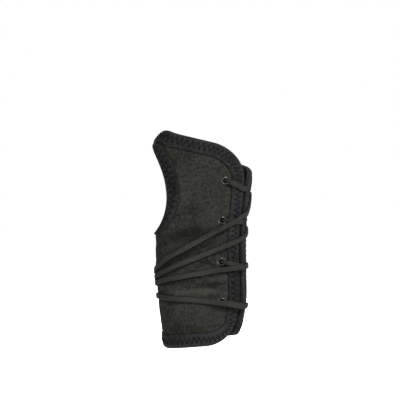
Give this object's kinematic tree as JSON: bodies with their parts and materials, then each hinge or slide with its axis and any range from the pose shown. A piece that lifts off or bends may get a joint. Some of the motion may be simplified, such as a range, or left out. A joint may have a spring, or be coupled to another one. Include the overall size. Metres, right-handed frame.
{
  "type": "lace-up wrist brace",
  "caption": "Left-hand canvas wrist brace: a bound wrap with a thumb hole, open along the little-finger side and drawn together by flat laces through metal eyelets to a pull tab.",
  "frame": {"origin": "on the axis of the wrist at mid height of the brace", "axes": "+Z along the forearm towards the fingers, +X from the thumb side to the little-finger side, -Y the way the palm faces"},
  "size_m": [0.0931, 0.0609, 0.2011],
  "materials": {
    "canvas": "matt faded black cotton canvas with a fine upright weave",
    "webbing": "matt black woven tape with zigzag stitching",
    "braid": "matt dark grey flat braid",
    "eyelet_metal": "gunmetal black, worn bright on the lip"
  },
  "bodies": {
    "root": {"wrap": "canvas", "edge_binding": "webbing", "thumb_binding": "webbing", "eyelet_palm_1": "eyelet_metal", "eyelet_palm_2": "eyelet_metal", "eyelet_palm_3": "eyelet_metal", "eyelet_palm_4": "eyelet_metal", "eyelet_back_1": "eyelet_metal", "eyelet_back_2": "eyelet_metal", "eyelet_back_3": "eyelet_metal", "eyelet_back_4": "eyelet_metal", "upper_lace": "braid", "lower_lace": "braid", "lace_tab": "webbing"}
  },
  "joints": []
}
